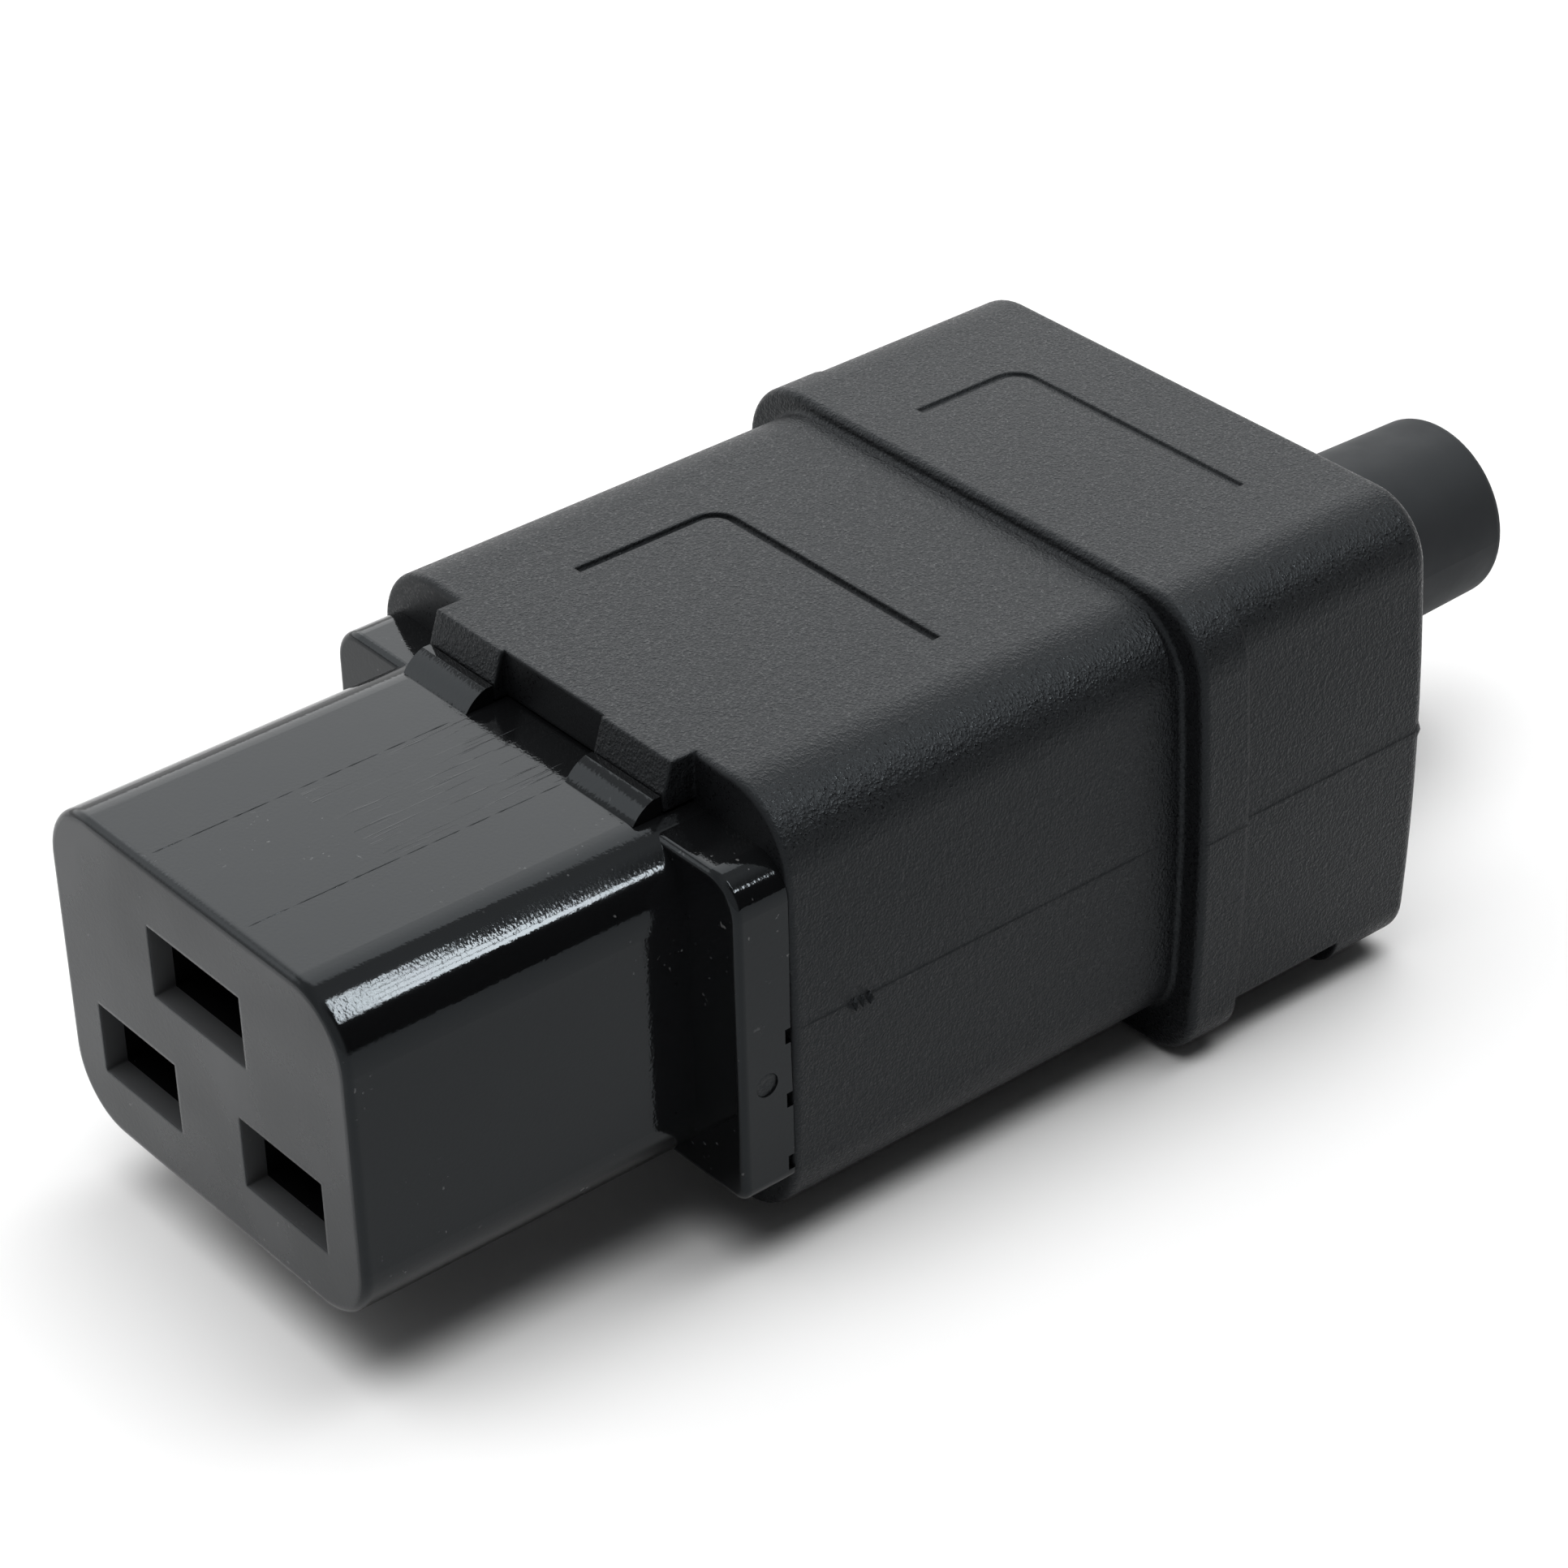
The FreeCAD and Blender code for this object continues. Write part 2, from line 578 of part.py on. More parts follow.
def slotted_screw(label, radius, length, head_radius, head):
    """Slotted screw on the Z axis, with its head seated at zero and its shank below."""
    body = new_body(label)
    turn(body, "turned", ("0", f"-({length})"), (radius, f"-({length})"), (radius, "0"),
         (head_radius, "0"), (head_radius, head), ("0", head))
    driver = even_rectangle("driver_width / 2", f"{head} - driver_depth", head)
    cut(body, "driver_slot", "XZ_Plane", f"-({head_radius})", head_radius, driver)
    return body


def pole_screw(pole):
    """Clamping screw of one terminal, standing a little out as it does with no wire under it."""
    side, rise, _, _, faces_up = POLES[pole]
    seat = "(terminal_side / 2 + pole_screw_stand)"
    body = slotted_screw(f"{pole}_terminal_screw", "pole_screw_radius", f"{seat} - wire_hole_radius",
                         "pole_screw_head_radius", "pole_screw_head")
    if faces_up:
        return place(body, x=side, y=POLE_SCREW, z=f"{rise} + {seat}")
    return place(body, x=side, y=POLE_SCREW, z=f"{rise} - {seat}", rotation=UPSIDE_DOWN)


def small_screw(label):
    return slotted_screw(label, "small_screw_radius", "small_screw_length",
                         "small_screw_head_radius", "small_screw_head")


def rear_holder():
    """Insulating plate that keeps the terminals in their bays, with the cradle for the cord behind it."""
    body = new_body("rear_holder")
    plate = rounded_rectangle("(block_width / 2 - plate_margin)", NOSE_BOTTOM,
                              f"({NOSE_TOP} - plate_margin)", "block_corner")
    add(body, "plate", "XZ_Plane", PLATE_FRONT, PLATE_BACK, plate)
    for pole, (side, rise, *_) in POLES.items():
        entry = circle(side, rise, "wire_entry_radius")
        cut(body, f"{pole}_entry", "XZ_Plane", PLATE_FRONT, PLATE_BACK, entry)
    cradle = even_rectangle("cradle_width / 2", NOSE_BOTTOM, CRADLE_TOP)
    add(body, "cradle", "XZ_Plane", PLATE_BACK, f"{PLATE_BACK} + cradle_length", cradle)
    pilot_end = f"{CLAMP_TOP} - small_screw_length - screw_gap"
    for hand, sign in HANDS.items():
        hole = circle(f"{sign} * boss_side", "boss_rise", "small_screw_radius + screw_gap")
        cut(body, f"{hand}_screw_hole", "XZ_Plane", PLATE_FRONT, PLATE_BACK, hole)
        inner, outer = "post_inner", "cradle_width / 2"
        left, right = (inner, outer) if hand == "right" else (f"-{outer}", f"-{inner}")
        post = rectangle(left, right, CRADLE_TOP, "post_top")
        add(body, f"{hand}_post", "XZ_Plane", POST_FRONT, f"{POST_FRONT} + post_depth", post)
        pilot = circle(f"{sign} * {POST_SIDE}", POST_MIDDLE, "small_screw_radius + screw_gap / 2")
        cut(body, f"{hand}_pilot", "XY_Plane", pilot_end, "post_top", pilot)
    nut_seat = f"{CRADLE_TOP} - nut_height - screw_gap"
    cut(body, "nut_pocket", "XY_Plane", nut_seat, CRADLE_TOP, hexagon(SHELL_SCREW, "nut_width + screw_gap"))
    screw_hole = circle("0", SHELL_SCREW, "shell_screw_radius + screw_gap")
    cut(body, "screw_hole", "XY_Plane", NOSE_BOTTOM, nut_seat, screw_hole)
    return place(body)


def cord_clamp_bar():
    """Bar that bridges the two posts, hollowed underneath to the round of the cord."""
    body = new_body("cord_clamp_bar")
    front, back = f"({POST_MIDDLE} - clamp_depth / 2)", f"({POST_MIDDLE} + clamp_depth / 2)"
    add(body, "bar", "XZ_Plane", front, back, even_rectangle("cradle_width / 2", "post_top", CLAMP_TOP))
    soften(body, "bar_ends", "clamp_round",
           lambda edge: runs_along(edge, ALONG_Y) and near(middle(edge).z, CLAMP_TOP))
    cut(body, "arch", "XZ_Plane", front, back, circle("0", "sleeve_rise", "cord_radius"))
    for hand, sign in HANDS.items():
        hole = circle(f"{sign} * {POST_SIDE}", POST_MIDDLE, "small_screw_radius + screw_gap")
        cut(body, f"{hand}_hole", "XY_Plane", "post_top", CLAMP_TOP, hole)
    return place(body)


def shell_screw():
    """Pan-head screw in the recess under the shell, up into the nut in the holder."""
    body = slotted_screw("shell_screw", "shell_screw_radius", f"{CRADLE_TOP} - {RECESS_LEVEL} - screw_gap",
                         "shell_screw_head_radius", "shell_screw_head")
    return place(body, y=SHELL_SCREW, z=RECESS_LEVEL, rotation=UPSIDE_DOWN)


def shell_nut():
    body = new_body("shell_nut")
    add(body, "hex", "XY_Plane", "0", "nut_height", hexagon("0", "nut_width"))
    cut(body, "bore", "XY_Plane", "0", "nut_height", circle("0", "0", "shell_screw_radius + screw_gap / 2"))
    return place(body, y=SHELL_SCREW, z=f"{CRADLE_TOP} - nut_height - screw_gap")


def cable_sleeve():
    """Soft sleeve through the back wall, held by a collar inside the shell."""
    body = new_body("cable_sleeve")
    length = "(collar_depth + back_wall + sleeve_reach)"
    tip_radius = "sleeve_radius - sleeve_taper"
    turn(body, "tube", ("sleeve_bore", "0"), ("collar_radius", "0"), ("collar_radius", "collar_depth"),
         ("sleeve_radius", "collar_depth"), ("sleeve_radius", "collar_depth + back_wall"),
         (tip_radius, length), ("sleeve_bore", length))
    soften(body, "tip_edge", "sleeve_edge",
           lambda edge: near(middle(edge).z, length) and near(edge.BoundBox.XMax, tip_radius))
    return place(body, y=f"{CAVITY_BACK} - collar_depth", z="sleeve_rise", rotation=FACING_BACK)


pieces = [outer_shell(), contact_carrier(), cable_sleeve(), rear_holder()]
pieces += [cord_clamp_bar(), shell_screw(), shell_nut()]
for pole in POLES:
    pieces += [contact(pole), terminal(pole), pole_screw(pole)]
for hand, sign in HANDS.items():
    screw = small_screw(f"{hand}_holder_screw")
    pieces.append(place(screw, x=f"{sign} * boss_side", y=PLATE_BACK, z="boss_rise", rotation=FACING_BACK))
    screw = small_screw(f"{hand}_clamp_screw")
    pieces.append(place(screw, x=f"{sign} * {POST_SIDE}", y=POST_MIDDLE, z=CLAMP_TOP))
doc.recompute()

for item in doc.Objects:
    if "Invalid" in item.State or "Error" in item.State:
        raise RuntimeError(f"{item.Label} failed: {item.State}")
for piece in pieces:
    if piece.Shape.isNull() or not piece.Shape.isValid() or len(piece.Shape.Solids) != 1:
        raise RuntimeError(f"{piece.Label} is not one valid solid")

os.makedirs("parts", exist_ok=True)
for piece in pieces:
    piece.Shape.exportStep(f"parts/{piece.Label}.step")
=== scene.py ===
import math
import random

import bpy
from mathutils import Matrix, Vector


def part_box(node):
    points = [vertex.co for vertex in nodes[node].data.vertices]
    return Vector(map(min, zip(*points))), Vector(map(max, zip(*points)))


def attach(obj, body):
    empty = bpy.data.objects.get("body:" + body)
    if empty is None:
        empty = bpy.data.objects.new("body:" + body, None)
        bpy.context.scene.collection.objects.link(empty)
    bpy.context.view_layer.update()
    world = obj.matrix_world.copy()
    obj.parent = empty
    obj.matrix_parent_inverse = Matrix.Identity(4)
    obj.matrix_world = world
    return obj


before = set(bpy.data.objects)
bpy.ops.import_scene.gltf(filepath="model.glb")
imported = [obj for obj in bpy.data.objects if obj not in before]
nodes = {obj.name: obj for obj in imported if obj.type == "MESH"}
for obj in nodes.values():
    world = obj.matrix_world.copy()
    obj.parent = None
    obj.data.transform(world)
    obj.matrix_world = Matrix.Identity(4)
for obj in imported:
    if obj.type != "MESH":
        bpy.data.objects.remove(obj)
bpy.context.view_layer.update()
MM = 0.001

# Camera: the photo's viewing angle, found from the slot pattern, in degrees and millimetres.
AZIMUTH, ELEVATION, ROLL = 51.231, 33.052, -1.589
CAMERA_AT = Vector((162.92, -137.54, 151.35)) * MM
FOCAL_SHARE = 5645.47 / 1932.0
SENSOR = 36.0

# Levels and stations of the solids that the small trim sits on, in millimetres.
NOSE_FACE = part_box("contact_carrier")[0][1] / MM
SHELL_FRONT = NOSE_FACE + 24.1
RIM_FRONT = SHELL_FRONT + 26.9
RIM_BACK = RIM_FRONT + 3.3
SHELL_BACK = RIM_BACK + 14.2
TONGUE_HALF = 9.9
NOTCH_HALF, NOTCH_WALL = 4.25, SHELL_FRONT - 1.2
SHELL_SIDE, RIM_SIDE, REAR_SIDE = 17.4, 19.1, 18.6
CREASE, RIM_EDGE, REAR_EDGE = 0.3, 0.45, 1.0
PARTING = 14.875
NOSE_TOP, NOSE_HALF, NOSE_ROUND = 25.2, 13.2, 4.0
# PAINTED_LIP_DEPTH is how deep into the slots the painted light on their lips reaches.
SLOT_REACH, SLOT_LOW, SLOT_HIGH, PAINTED_LIP_DEPTH = 11.5, 7.0, 23.0, 1.3
MARK_AT, MARK_RADIUS = (SHELL_FRONT - 1.65, 12.15), 0.7
SCRATCH_START = NOSE_FACE + 9.5

# Trim left by the mould: width and height of each ridge, and where the mould lines lie, in millimetres.
SEAM, TORN_FLASH, BACK_FLASH, INSERT_LINE = (0.2, 0.07), (0.55, 0.34), (1.1, 0.16), (0.13, 0.05)
SEAM_STEP, INSERT_STEP, ROOT_DEPTH = 0.7, 0.4, 0.02
TORN_FROM, TORN_TO, TORN_STEP = SHELL_FRONT + 3.5, SHELL_FRONT + 5.1, 0.16
MOULD_LINE, MOULD_LINE_FROM, MOULD_LINE_TO = 4.26, NOSE_FACE + 0.9, SHELL_FRONT - 4.1

# Black plastic: its index of refraction and its slightly cool sheen.
PLASTIC_IOR = 1.5
SHEEN = (0.84, 0.935, 1.0, 1.0)

# Soft overhead light of the world: its strength, where its two discs are, and how each fades to its edge.
FILL, FILL_FROM = 4.1, ((-0.02, 0.3, 0.95), (-0.02, -0.18, 0.98))
FILL_LOWEST = -0.2
FILL_DISC = [(0.0, 0.008), (0.89, 0.012), (0.955, 0.8), (0.985, 1.0)]

# The room that gloss reflects: its tone from left to right, and the paler part at the front right.
ROOM_TONE = [(0.0, 1.0), (0.2, 0.9), (0.36, 0.75), (0.55, 0.95), (0.64, 0.7), (0.76, 0.02)]
ROOM_FRONT, ROOM_FRONT_TONE = (0.5, -0.85, 0.15), [(0.3, 0.0), (0.65, 0.8)]

# Lamps aim at this spot, in metres. The tubes lie this far from the nose, in millimetres, and each is
# given by the turn of the edge that mirrors it, in degrees, and by how far before the shell it ends.
LAMP_AIM = Vector((0, -0.01, 0.015))
TUBE_DISTANCE, TUBE_WIDTH, TUBE_RADIANCE = 350.0, 34.0, 39.0
TUBES = ((46, 3.3), (42.5, 10.5), (39, 14), (35.5, 17), (32, 19))

# The floor lies a little under the rim and rises a little towards the nose.
FLOOR_DROP, FLOOR_SLOPE, FLOOR_REACH = 0.00025, 0.02, 4.0

# Sockets of a mix node that is set to vectors.
MIX_A, MIX_B, MIX_RESULT = 4, 5, 1


def make_camera():
    a, e, r = (math.radians(v) for v in (AZIMUTH, ELEVATION, ROLL))
    back = Vector((math.sin(a) * math.cos(e), -math.cos(a) * math.cos(e), math.sin(e)))
    right = (-back).cross(Vector((0, 0, 1))).normalized()
    up = back.cross(right)
    turned_right = right * math.cos(r) + up * math.sin(r)
    turned_up = up * math.cos(r) - right * math.sin(r)
    data = bpy.data.cameras.new("camera")
    data.sensor_width = SENSOR
    data.lens = FOCAL_SHARE * SENSOR
    data.clip_start, data.clip_end = 0.01, 20.0
    camera = bpy.data.objects.new("camera", data)
    rotation = Matrix((turned_right, turned_up, back)).transposed().to_4x4()
    camera.matrix_world = Matrix.Translation(CAMERA_AT) @ rotation
    bpy.context.scene.collection.objects.link(camera)
    bpy.context.scene.camera = camera


def new_material(name):
    material = bpy.data.materials.new(name)
    material.use_nodes = True
    tree = material.node_tree
    shader = tree.nodes["Principled BSDF"]
    return material, tree, shader


def black_plastic(name, specular):
    """A new material with the sheen of the black plastic."""
    material, tree, shader = new_material(name)
    shader.inputs["IOR"].default_value = PLASTIC_IOR
    shader.inputs["Specular IOR Level"].default_value = specular
    shader.inputs["Specular Tint"].default_value = SHEEN
    return material, tree, shader


def add_node(tree, kind, **values):
    """A node with its properties and, by name, its input values set."""
    node = tree.nodes.new(kind)
    for key, value in values.items():
        if key in node.inputs:
            node.inputs[key].default_value = value
        else:
            setattr(node, key, value)
    return node


def noise(tree, coords, scale, detail=2.0, roughness=0.5, stretch=None):
    """Noise in object space; scale is in cells per metre, stretch multiplies it along each axis."""
    source = coords
    if stretch:
        mapping = add_node(tree, "ShaderNodeMapping")
        mapping.inputs["Scale"].default_value = stretch
        tree.links.new(coords, mapping.inputs["Vector"])
        source = mapping.outputs["Vector"]
    node = add_node(tree, "ShaderNodeTexNoise", Scale=scale, Detail=detail, Roughness=roughness)
    tree.links.new(source, node.inputs["Vector"])
    return node.outputs["Fac"]


def ramp(tree, value, stops):
    """A colour ramp from position and grey or colour pairs."""
    node = tree.nodes.new("ShaderNodeValToRGB")
    elements = node.color_ramp.elements
    while len(elements) < len(stops):
        elements.new(0.5)
    for element, (position, colour) in zip(elements, stops):
        element.position = position
        element.color = (*colour, 1.0) if isinstance(colour, tuple) else (colour, colour, colour, 1.0)
    tree.links.new(value, node.inputs["Fac"])
    return node.outputs["Color"]


def math_node(tree, operation, first, second):
    node = add_node(tree, "ShaderNodeMath", operation=operation)
    for socket, value in zip(node.inputs, (first, second)):
        if isinstance(value, (int, float)):
            socket.default_value = value
        else:
            tree.links.new(value, socket)
    return node.outputs["Value"]


def product(tree, *values):
    result = values[0]
    for value in values[1:]:
        result = math_node(tree, "MULTIPLY", result, value)
    return result


def above(tree, value, level):
    """1 where a coordinate is over a level in millimetres, and otherwise 0."""
    return math_node(tree, "GREATER_THAN", value, level * MM)


def below(tree, value, level):
    """1 where a coordinate is under a level in millimetres, and otherwise 0."""
    return math_node(tree, "LESS_THAN", value, level * MM)


def bump(tree, height, strength, distance, under=None):
    node = add_node(tree, "ShaderNodeBump", Strength=strength, Distance=distance)
    tree.links.new(height, node.inputs["Height"])
    if under:
        tree.links.new(under, node.inputs["Normal"])
    return node.outputs["Normal"]


def object_coords(tree):
    return tree.nodes.new("ShaderNodeTexCoord").outputs["Object"]


def edge_round(tree, radius):
    """Surface normal softened over the sharp edges."""
    return add_node(tree, "ShaderNodeBevel", samples=4, Radius=radius).outputs["Normal"]


def axes(tree, coords):
    split = add_node(tree, "ShaderNodeSeparateXYZ")
    tree.links.new(coords, split.inputs["Vector"])
    return split.outputs["X"], split.outputs["Y"], split.outputs["Z"]


def shell_material():
    """Matte black moulding with a fine spark-eroded texture, polished on the front face and in the notch."""
    material, tree, shader = black_plastic("shell_spark_black", 0.2)
    coords = object_coords(tree)
    x, y, _ = axes(tree, coords)
    across = math_node(tree, "ABSOLUTE", x, 0.0)
    beside = above(tree, across, TONGUE_HALF + 0.05)
    face = product(tree, beside, below(tree, y, SHELL_FRONT + 0.1))
    inside = below(tree, across, NOTCH_HALF + 0.02)
    notch = product(tree, inside, below(tree, y, NOTCH_WALL + 0.02))
    textured = math_node(tree, "SUBTRACT", 1.0, math_node(tree, "MAXIMUM", face, notch))
    grain = noise(tree, coords, 6800, 1.0, 0.5)
    coarse = noise(tree, coords, 2800, 1.0, 0.5)
    cloud = noise(tree, coords, 60, 3.0)
    tone = ramp(tree, cloud, [(0.3, (0.0045, 0.0047, 0.0053)), (0.7, (0.0068, 0.007, 0.0077))])
    tree.links.new(tone, shader.inputs["Base Color"])
    sparkle = ramp(tree, grain, [(0.36, 0.5), (0.58, 0.4), (0.72, 0.16)])
    tree.links.new(sparkle, shader.inputs["Roughness"])
    height = math_node(tree, "ADD", grain, product(tree, coarse, 0.9))
    relief = product(tree, height, textured)
    normal = bump(tree, relief, 0.75, 0.00007, edge_round(tree, 0.0003))
    tree.links.new(normal, shader.inputs["Normal"])
    return material


def carrier_material():
    """Polished black moulding with a trace of flow and specks of dust.

    The front face is painted paler as a painted reflection, broken by a faint cloudy film. The slot lips are
    matt and painted paler as painted light in the slot mouths, the ejector marks are matt, and the top is
    scratched where it goes into inlets.
    """
    material, tree, shader = black_plastic("carrier_gloss_black", 0.22)
    coords = object_coords(tree)
    x, y, z = axes(tree, coords)
    across = math_node(tree, "ABSOLUTE", x, 0.0)

    # Where the lips, the front face, the scratched top and the ejector marks are.
    past_face = above(tree, y, NOSE_FACE + 0.04)
    within_painted_lip = below(tree, y, NOSE_FACE + PAINTED_LIP_DEPTH)
    in_reach = below(tree, across, SLOT_REACH)
    # The lip is the first part of each slot's walls, painted paler as painted light falling into the mouth.
    painted_light_lip = product(tree, past_face, within_painted_lip, in_reach, above(tree, z, SLOT_LOW), below(tree, z, SLOT_HIGH))
    front = below(tree, y, NOSE_FACE + 0.04)
    between_lines = below(tree, across, MOULD_LINE - 0.15)
    behind = above(tree, y, SCRATCH_START)
    on_top = above(tree, z, NOSE_TOP - 0.3)
    off_y = math_node(tree, "SUBTRACT", y, MARK_AT[0] * MM)
    off_z = math_node(tree, "SUBTRACT", z, MARK_AT[1] * MM)
    away = math_node(tree, "ADD", product(tree, off_y, off_y), product(tree, off_z, off_z))
    near = math_node(tree, "LESS_THAN", away, (MARK_RADIUS * MM) ** 2)
    mark = product(tree, near, above(tree, across, NOSE_HALF))

    # Colour: black, paler in dust; paler on the front face as a painted reflection under a cloudy film;
    # and paler on the slot lips as painted light in the slot mouths.
    dots = ramp(tree, noise(tree, coords, 2600, 1.0), [(0.74, 0.0), (0.78, 1.0)])
    specks = product(tree, dots, ramp(tree, noise(tree, coords, 90, 1.0), [(0.5, 0.0), (0.62, 1.0)]))
    cloud = noise(tree, coords, 110, 2.0)
    # The front face is painted paler as a painted reflection of the bright floor, broken up by a cloudy film.
    painted_sheen_film = product(tree, front, ramp(tree, cloud, [(0.35, 0.08), (0.65, 0.36)]))
    dust_and_painted_sheen = math_node(tree, "MAXIMUM", specks, painted_sheen_film)
    dust_and_painted_light = math_node(tree, "MAXIMUM", dust_and_painted_sheen, product(tree, painted_light_lip, 0.5))
    black, painted_light_grey, dust = (0.0042, 0.0044, 0.0048), (0.055, 0.056, 0.058), (0.09, 0.09, 0.09)
    tone = ramp(tree, dust_and_painted_light, [(0.0, black), (0.5, painted_light_grey), (1.0, dust)])
    tree.links.new(tone, shader.inputs["Base Color"])

    # Roughness: gloss, with scratches, satin front, marks and lips on it.
    lines = noise(tree, coords, 1.0, 2.0, 0.6, (5200, 130, 40))
    scratch = product(tree, ramp(tree, lines, [(0.6, 0.0), (0.7, 1.0)]), between_lines, behind, on_top)
    gloss = ramp(tree, noise(tree, coords, 160, 3.0), [(0.3, 0.06), (0.75, 0.1)])
    satin = ramp(tree, cloud, [(0.35, 0.0), (0.65, 0.1)])
    worn = math_node(tree, "ADD", gloss, product(tree, scratch, 0.25))
    worn = math_node(tree, "ADD", worn, product(tree, front, satin))
    worn = math_node(tree, "ADD", worn, product(tree, mark, 0.3))
    worn = math_node(tree, "ADD", worn, product(tree, painted_light_lip, 0.5))
    tree.links.new(worn, shader.inputs["Roughness"])

    # Relief: soft edges at the front end only, fine skin, flow, torn marks and scratches.
    rounded = add_node(tree, "ShaderNodeMix", data_type="VECTOR")
    plain = tree.nodes.new("ShaderNodeNewGeometry").outputs["Normal"]
    tree.links.new(below(tree, y, NOSE_FACE + 3.0), rounded.inputs["Factor"])
    tree.links.new(plain, rounded.inputs[MIX_A])
    tree.links.new(edge_round(tree, 0.00025), rounded.inputs[MIX_B])
    fine = bump(tree, noise(tree, coords, 5000, 1.0), 0.5, 0.000008, rounded.outputs[MIX_RESULT])
    flow = bump(tree, noise(tree, coords, 260, 2.0), 0.06, 0.0001, fine)
    torn = bump(tree, product(tree, mark, noise(tree, coords, 2600, 2.0)), 0.8, 0.00016, flow)
    tree.links.new(bump(tree, scratch, 0.25, 0.00004, torn), shader.inputs["Normal"])
    return material


def moulded(parts, dark, light, scales, roughness, relief):
    """Even moulded surface: its colours, the scales of its three noises, its roughness and its relief."""
    material, tree, shader = parts
    coords = object_coords(tree)
    clouds, sheen, skin = scales
    tone = ramp(tree, noise(tree, coords, clouds[0], clouds[1]), [(0.3, dark), (0.7, light)])
    tree.links.new(tone, shader.inputs["Base Color"])
    matt = ramp(tree, noise(tree, coords, sheen[0], sheen[1]), [(0.3, roughness[0]), (0.7, roughness[1])])
    tree.links.new(matt, shader.inputs["Roughness"])
    normal = bump(tree, noise(tree, coords, skin[0], skin[1]), relief, 0.00005)
    tree.links.new(normal, shader.inputs["Normal"])
    return material


def sleeve_material():
    """Soft black sleeve with a smooth matt skin."""
    scales = ((80, 2.0), (300, 3.0), (1500, 2.0))
    return moulded(black_plastic("sleeve_matt_black", 0.26), (0.0105, 0.0108, 0.0116),
                   (0.0135, 0.0138, 0.0146), scales, (0.55, 0.68), 0.15)


def holder_material():
    """Plain dark inner moulding."""
    scales = ((120, 2.0), (500, 2.0), (1800, 2.0))
    return moulded(new_material("holder_plain_grey"), (0.04, 0.04, 0.044), (0.055, 0.055, 0.06),
                   scales, (0.42, 0.55), 0.2)


def metal_material(name, dark, light, roughest, stretch):
    """Metal with a drawn or turned grain."""
    material, tree, shader = new_material(name)
    coords = object_coords(tree)
    shader.inputs["Metallic"].default_value = 1.0
    grain = noise(tree, coords, 1.0, 3.0, 0.6, stretch)
    tree.links.new(ramp(tree, grain, [(0.3, dark), (0.7, light)]), shader.inputs["Base Color"])
    tree.links.new(ramp(tree, grain, [(0.3, roughest), (0.7, roughest * 0.6)]), shader.inputs["Roughness"])
    tree.links.new(bump(tree, grain, 0.1, 0.00004), shader.inputs["Normal"])
    return material


def dress(material, *names):
    for name in names:
        mesh = nodes[name].data
        mesh.materials.clear()
        mesh.materials.append(material)


def ribbon(name, path, size, across, out, material, seed):
    """A low ridge along a path.

    size is its width and height, across is the direction of its width, and out is how it stands off the
    surface.
    """
    rng = random.Random(seed)
    width, height = size
    verts, faces = [], []
    for index, spot in enumerate(path):
        ends = index in (0, len(path) - 1)
        rise = height * (0.15 if ends else rng.uniform(0.55, 1.0))
        half = width / 2 * (0.5 if ends else rng.uniform(0.8, 1.1))
        for side, lift in ((-1, -ROOT_DEPTH), (0, rise), (1, -ROOT_DEPTH)):
            verts.append((Vector(spot) + Vector(across) * side * half + Vector(out) * lift) * MM)
    for index in range(len(path) - 1):
        for lane in range(2):
            a = index * 3 + lane
            faces.append((a, a + 1, a + 4, a + 3))
    mesh = bpy.data.meshes.new(name)
    mesh.from_pydata(verts, [], faces)
    mesh.materials.append(material)
    for polygon in mesh.polygons:
        polygon.use_smooth = True
    piece = bpy.data.objects.new(name, mesh)
    bpy.context.scene.collection.objects.link(piece)
    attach(piece, "root")


def spaced(start, end, step):
    count = max(2, round(abs(end - start) / step))
    return [start + (end - start) * index / count for index in range(count + 1)]


def round_turn(centre, radius, angles):
    """Points of an arc in plan, as station and side pairs; angles are from +Y towards the outside."""
    turns = [math.radians(angle) for angle in angles]
    return [(centre[0] + radius * math.cos(turn), centre[1] + radius * math.sin(turn)) for turn in turns]


def parting_line(name, side, material, seed):
    """The seam of the two mould halves, along one side of the shell and over the rim."""
    runs = [(y, SHELL_SIDE) for y in spaced(SHELL_FRONT + 0.4, RIM_FRONT - CREASE, SEAM_STEP)]
    runs += round_turn((RIM_FRONT - CREASE, SHELL_SIDE + CREASE), CREASE, (-60, -30, 0))
    runs += round_turn((RIM_FRONT + RIM_EDGE, RIM_SIDE - RIM_EDGE), RIM_EDGE, (180, 150, 120, 90))
    runs += [(RIM_BACK, RIM_SIDE), (RIM_BACK, REAR_SIDE)]
    runs += [(y, REAR_SIDE) for y in spaced(RIM_BACK + 0.4, SHELL_BACK - REAR_EDGE, SEAM_STEP)]
    runs += round_turn((SHELL_BACK - REAR_EDGE, REAR_SIDE - REAR_EDGE), REAR_EDGE, (60, 30, 0))
    path = [(side * x, y, PARTING) for y, x in runs]
    ribbon(name, path, SEAM, (0, 0, 1), (side, 0, 0), material, seed)


def parting_burrs(material):
    """Flash left on the seam: a torn spot near the front on the right, and a thick one at the back edge."""
    stations = spaced(TORN_FROM, TORN_TO, TORN_STEP)
    torn = [(SHELL_SIDE, y, PARTING - 0.2 * (index % 3)) for index, y in enumerate(stations)]
    ribbon("torn_flash", torn, TORN_FLASH, (0, 0, 1), (1, 0, 0), material, 11)
    centre = (SHELL_BACK - REAR_EDGE, REAR_SIDE - REAR_EDGE)
    back = round_turn(centre, REAR_EDGE, (85, 70, 55, 40, 25, 10))
    thick = [(x, y, PARTING) for y, x in back]
    ribbon("back_flash", thick, BACK_FLASH, (0, 0, 1), (0.8, 0.6, 0), material, 13)


